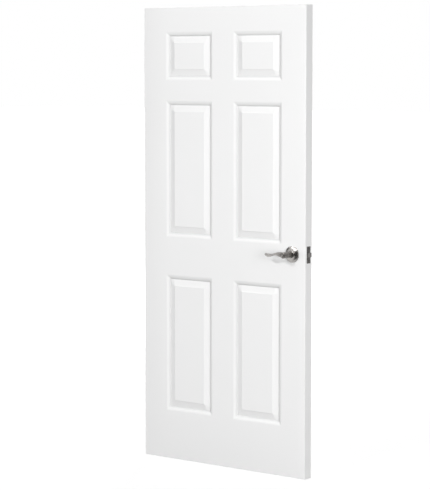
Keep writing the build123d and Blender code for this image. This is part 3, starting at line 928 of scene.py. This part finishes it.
# Distance from the spindle, rise, half height, drop below the handle's height and half depth, in millimetres
handle_stations = np.array([
    (0, 0.0, 12.0, 0.0, 9.5),
    (16, 1.0, 11.2, 0.0, 8.6),
    (30, 2.6, 9.0, 0.0, 7.4),
    (44, 3.2, 6.2, 0.0, 6.2),
    (58, 0.2, 4.6, 0.5, 5.4),
    (72, -3.6, 5.6, 1.5, 5.0),
    (86, -4.6, 7.2, 2.8, 4.8),
    (98, -3.6, 7.2, 4.2, 4.4),
    (107, -2.0, 5.0, 5.4, 3.5),
    (111.5, -1.4, 2.2, 6.0, 1.8),
]) * mm
handle_tip = handle_stations[-1, 0]
tip_round = 4.0 * mm


def curve_through(knots, values, at):
    """A smooth curve through values at knots: on each span, a cubic that keeps the mean slope at its ends."""
    slope = np.gradient(values, knots, axis=0)
    span = np.clip(np.searchsorted(knots, at, side="right") - 1, 0, len(knots) - 2)
    width = (knots[span + 1] - knots[span])[:, None]
    t = ((at - knots[span]) / width[:, 0])[:, None]
    start, end = values[span], values[span + 1]
    rise_in, rise_out = slope[span] * width, slope[span + 1] * width
    bend = 2 * (start - end) + rise_in + rise_out
    lean = 3 * (end - start) - 2 * rise_in - rise_out
    return ((bend * t + lean) * t + rise_in) * t + start


def handle_surface():
    """The handle: ovals across the handle's line, their places and half sizes smooth along it.

    The last rows shrink along a quarter circle to a point, which rounds the tip.
    """
    around = 48
    along = np.linspace(0, 1, 90)
    shape = curve_through(handle_stations[:, 0], handle_stations[:, 1:], along * handle_tip)
    rise, half_height, drop, half_depth = shape.T
    left = np.clip((1 - along) * handle_tip / tip_round, 0, 1)
    close = np.sqrt(1 - (1 - left) ** 2)
    close[0] = 0
    angle = full_circle(around)
    x = np.broadcast_to(-along[:, None] * handle_tip, (along.size, around))
    y = rise[:, None] + (half_height * close)[:, None] * np.cos(angle)
    z = handle_height - drop[:, None] + (half_depth * close)[:, None] * np.sin(angle)
    return np.stack([x, y, z], -1).reshape(-1, 3), grid_quads(along.size, around)


def quarter_round(radius, height, rounding, count):
    """A profile's quarter circle, from its side at a radius up and in to its top at a height."""
    turn = np.linspace(0, math.pi / 2, count)
    across = radius - rounding + rounding * np.cos(turn)
    return np.stack([across, height - rounding + rounding * np.sin(turn)], -1)


def neck_surface(hole_radius, hole_foot):
    """The neck turned about its axis, with a square socket below and a round hole in the nose.

    The socket's rows are square: there the radius is divided by the larger of the angle's cosine and sine.
    """
    around = 96
    waist_bulge = waist_radius - (neck_radius + nose_radius) / 2
    waist = arc_through((neck_radius, neck_start), (nose_radius, handle_height), waist_bulge, count=25)
    dome = quarter_round(nose_radius, nose_height, nose_round, count=13)
    socket = np.array([(0, socket_top), (socket_half, socket_top), (socket_half, shank_foot)])
    outside = [(shank_radius, shank_foot), (shank_radius, shoulder_height), (neck_radius, shoulder_height)]
    hole = [(hole_radius, nose_height), (hole_radius, hole_foot), (0, hole_foot)]
    profile = np.concatenate([socket, outside, waist, dome, hole])
    points, quads = turned_surface(profile, around)
    angle = full_circle(around)
    corner = 1 / np.maximum(np.abs(np.cos(angle)), np.abs(np.sin(angle)))
    points[:len(socket) * around, :2] *= np.tile(corner, len(socket))[:, None]
    return points, quads


def apply_modifiers(piece):
    """Keeps the result of the piece's modifiers as its mesh."""
    bpy.context.view_layer.update()
    made = piece.evaluated_get(bpy.context.evaluated_depsgraph_get())
    mesh = bpy.data.meshes.new_from_object(made)
    piece.modifiers.clear()
    piece.data = mesh


def cast_lever(name, hole_radius, hole_foot, rear, material):
    """A lever: neck and handle made one by a fine voxel mesh and smoothed, so that they blend as if cast."""
    hole_depth = 2 * neck_radius
    screw_hole = np.array([(0, 0), (set_screw_radius, 0), (set_screw_radius, hole_depth), (0, hole_depth)])
    screw_points, screw_quads = turned_surface(screw_hole, around=32)
    downward = np.stack([screw_points[:, 0], -screw_points[:, 2], screw_points[:, 1] + set_screw_height], -1)
    cutter = new_piece(name + "_cutter", *on_face(downward, screw_quads, rear), material)
    neck = new_piece(name, *on_face(*neck_surface(hole_radius, hole_foot), rear), material)
    cut = neck.modifiers.new("set_screw_hole", "BOOLEAN")
    cut.operation = "DIFFERENCE"
    cut.object = cutter
    apply_modifiers(neck)
    bpy.data.objects.remove(cutter)
    handle = new_piece(name + "_handle", *on_face(*handle_surface(), rear), material)
    joined = bmesh.new()
    joined.from_mesh(neck.data)
    joined.from_mesh(handle.data)
    joined.to_mesh(neck.data)
    joined.free()
    bpy.data.objects.remove(handle)
    remesh = neck.modifiers.new("one_casting", "REMESH")
    remesh.mode = "VOXEL"
    remesh.voxel_size = casting_voxel
    soften = neck.modifiers.new("soften", "SMOOTH")
    soften.factor = 0.5
    soften.iterations = 6
    apply_modifiers(neck)
    neck.data.shade_smooth()
    return neck


def cast_nickel():
    """Nickel on the casting: ring brushing on the turned neck, brushing along the handle beyond it, and a
    painted dark reflection on the neck that fades out along the handle's root.
    """
    material, tree, shader = new_metal("cast_nickel")
    rings = place_group(tree, spun_metal, {"Colour": painted_dark_neck_colour, "Axis": lever_axis})
    lines = place_group(tree, drawn_metal, {
        "Colour": nickel_colour,
        "Stretch": (scratch_along, scratch_across, scratch_across),
    })
    # Here the painted dark reflection of the neck fades out into the handle's plain nickel.
    on_handle = spread(tree, rings["Reach"], 0, 1, nose_radius, line_start)
    colour = blended(tree, on_handle, rings["Colour"], lines["Colour"])
    pick = {}
    # The Mix node's plain values are its inputs 2 and 3 and its output 0
    for part in ("Roughness", "Height"):
        mix = add_node(tree, "ShaderNodeMix", {0: on_handle, 2: rings[part], 3: lines[part]})
        pick[part] = mix.outputs[0]
    link_finish(tree, shader, colour, pick["Roughness"], pick["Height"], ring_relief)
    return material


lever_finish = cast_nickel()
for side, rear, hole_radius, hole_foot in (
    ("front", False, button_hole_radius, button_hole_foot),
    ("rear", True, release_hole_radius, release_hole_foot),
):
    lever = cast_lever(f"cast_{side}_lever", hole_radius, hole_foot, rear, lever_finish)
    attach(lever, "lever_set")
    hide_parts(f"{side}_lever")


# Push button. The privacy button in the front lever's nose: a turned nickel pin with a shallow dish, on a
# stem that slides in the casting.

button_radius = 3.5 * mm
button_top = 73.5 * mm
button_seat = 62.0 * mm
button_round = 1.2 * mm
stem_radius = 2.0 * mm
stem_foot = 48.0 * mm
dish_depth = 0.5 * mm


def button_profile():
    """Section of the button: stem, seat, side, rounded edge, and a top dipping by a cosine to its centre."""
    edge = quarter_round(button_radius, button_top, button_round, count=9)
    dish_radius = np.linspace(button_radius - button_round, 0, 13)
    dip = dish_depth / 2 * (1 + np.cos(math.pi * dish_radius / dish_radius[0]))
    stem = [
        (0, stem_foot),
        (stem_radius, stem_foot),
        (stem_radius, button_seat),
        (button_radius, button_seat),
    ]
    return np.concatenate([
        stem,
        edge,
        np.stack([dish_radius, button_top - dip], -1)[1:],
    ])


button_shape = on_face(*turned_surface(button_profile(), around=64), rear=False)
button = new_piece("dished_push_button", *button_shape, rose_finish, smooth_angle=40)
add_ring_map(button)
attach(button, "button")
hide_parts("push_button")


# Floor and backdrop. A plain white floor that keeps a soft shadow, and a white world behind it. Camera,
# glossy and transmitted rays see them white; other rays see a weaker world as even light.

floor_half = 60.0
seen_floor = (0.35, 0.35, 0.35, 1)
bounce_floor = (0.09, 0.09, 0.09, 1)
near_glow = 0.7
near_reach = 1.5
far_reach = 7.0
ambient = 0.315


def seen_mask(tree):
    """1 for rays from the camera, and for those that reach the eye by reflection or through glass."""
    path = add_node(tree, "ShaderNodeLightPath").outputs
    seen = path["Is Camera Ray"]
    for kind in ("Is Glossy Ray", "Is Transmission Ray"):
        seen = combined(tree, "MAXIMUM", seen, path[kind])
    return seen


def white_floor():
    """Diffuse white that also glows a little where it is seen, so that only the shadow is below white."""
    material, tree, shader = new_material("white_floor")
    seen = seen_mask(tree)
    tree.links.new(blended(tree, seen, bounce_floor, seen_floor), shader.inputs["Base Color"])
    shader.inputs["Roughness"].default_value = 1.0
    shader.inputs["Emission Color"].default_value = (1, 1, 1, 1)
    away = add_node(tree, "ShaderNodeVectorMath", {0: object_place(tree)}, operation="LENGTH")
    glow = spread(tree, away.outputs["Value"], near_glow, 1.0, near_reach, far_reach)
    tree.links.new(combined(tree, "MULTIPLY", glow, seen), shader.inputs["Emission Strength"])
    return material


floor_points = np.array([(-1, -1, 0), (1, -1, 0), (1, 1, 0), (-1, 1, 0)]) * floor_half
floor = new_piece("floor", floor_points, np.array([[0, 1, 2, 3]]), white_floor())

world = bpy.data.worlds.new("white_studio")
world.use_nodes = True
bpy.context.scene.world = world
backdrop = world.node_tree.nodes["Background"]
backdrop.inputs["Color"].default_value = (1, 1, 1, 1)
world_strength = spread(world.node_tree, seen_mask(world.node_tree), ambient, 1.0)
world.node_tree.links.new(world_strength, backdrop.inputs["Strength"])


# Dark cloth and glowing card. Cloth hangs in three widths round the door, the front one laid out on the floor
# as well, and a card that glows by itself hangs high at the front left. Only reflections see them, so they
# paint dark and bright reflections into the metal. Widths are in degrees, from straight ahead of the face
# round to its right.

cloth_reach = 14.0
cloth_height = 8.5
cloth_start = 1.2
cloth_lift = 0.005
cloth_tone = (0.03, 0.03, 0.03, 1)
front_width = (-15.0, 50.0)
right_width = (75.0, 175.0)
left_width = (-130.0, -60.0)
card_reach = 11.0
card_heights = (8.6, 12.4)
card_width = (-48.0, 2.0)
card_glow = 6.5


def dark_cloth():
    """Matt black cloth."""
    material, _, shader = new_material("dark_cloth")
    shader.inputs["Base Color"].default_value = cloth_tone
    shader.inputs["Roughness"].default_value = 1.0
    return material


def glowing_reflection_card():
    """A card that glows by itself, with no lamp: a painted bright reflection for the metal."""
    material, _, shader = new_material("glowing_reflection_card")
    shader.inputs["Emission Color"].default_value = (1, 1, 1, 1)
    shader.inputs["Emission Strength"].default_value = card_glow
    return material


def hang(name, width, profile, material):
    """A profile of (distance, height) rows carried round the door through a width in degrees."""
    steps = 33
    turn = np.radians(np.linspace(*width, steps))
    distance = profile[:, :1]
    height = np.broadcast_to(profile[:, 1:], (len(profile), turn.size))
    points = np.stack([distance * np.sin(turn), -distance * np.cos(turn), height], -1).reshape(-1, 3)
    hung = new_piece(name, points, grid_quads(len(profile), steps, closed=False), material)
    hung.visible_camera = False
    hung.visible_diffuse = False
    hung.visible_transmission = False
    hung.visible_shadow = False


cloth_finish = dark_cloth()
laid_and_hung = np.array([(cloth_start, cloth_lift), (cloth_reach, cloth_lift), (cloth_reach, cloth_height)])
hang("front_cloth", front_width, laid_and_hung, cloth_finish)
hang("right_cloth", right_width, laid_and_hung[1:], cloth_finish)
hang("left_cloth", left_width, laid_and_hung[1:], cloth_finish)
upright_card = np.array([(card_reach, height) for height in card_heights])
hang("upper_card", card_width, upright_card, glowing_reflection_card())


# Lamps. A softbox far round to the right gives the mouldings their light and shade, a smaller lamp high at
# the front draws the lever's shadow on the face, and a wide panel at the front left fills in. Two more light
# the back for views from behind. Reflections see only the smaller front lamp.


def add_lamp(name, place, target, width, height, power, mirrored=False):
    """A rectangular area lamp at a place, turned to a target. Reflections see it only if it is mirrored."""
    lamp = bpy.data.lights.new(name, "AREA")
    lamp.shape = "RECTANGLE"
    lamp.size = width
    lamp.size_y = height
    lamp.energy = power
    holder = bpy.data.objects.new(name, lamp)
    holder.visible_glossy = mirrored
    bpy.context.collection.objects.link(holder)
    aim = np.array(target) - np.array(place)
    tilt = math.atan2(np.hypot(aim[0], aim[1]), -aim[2])
    holder.location = place
    holder.rotation_euler = (tilt, 0, math.atan2(-aim[0], aim[1]))


door_middle = (0.0, 0.0, leaf_height / 2)
lever_foot = (lock_x, face_y, lock_z)
add_lamp("right_softbox", (6.09, -3.24, 1.6), door_middle, width=2.6, height=2.6, power=312.0)
add_lamp("front_key", (0.4, -9.55, 6.47), lever_foot, width=1.8, height=1.3, power=358.0, mirrored=True)
add_lamp("left_fill", (-3.5, -8.7, 1.5), door_middle, width=6.4, height=2.9, power=232.0)
add_lamp("rear_key", (-4.5, 7.5, 5.0), door_middle, width=1.6, height=1.6, power=425.0)
add_lamp("rear_fill", (-0.6, 9.0, 1.8), door_middle, width=4.0, height=2.9, power=290.0)


# Camera. At the photograph's angle: to the right of the face and a little above the door's middle, with a
# long lens, so that the door's edge with the latch shows.

camera_place = (5.6288, -6.8482, 1.7636)
camera_yaw = 39.727
camera_pitch = 5.009
camera_lens = 148.18
camera = bpy.data.objects.new("camera", bpy.data.cameras.new("camera"))
bpy.context.collection.objects.link(camera)
camera.location = camera_place
camera.rotation_euler = (math.radians(90 - camera_pitch), 0, math.radians(camera_yaw))
camera.data.lens = camera_lens
bpy.context.scene.camera = camera
bpy.context.scene.view_settings.view_transform = "Standard"
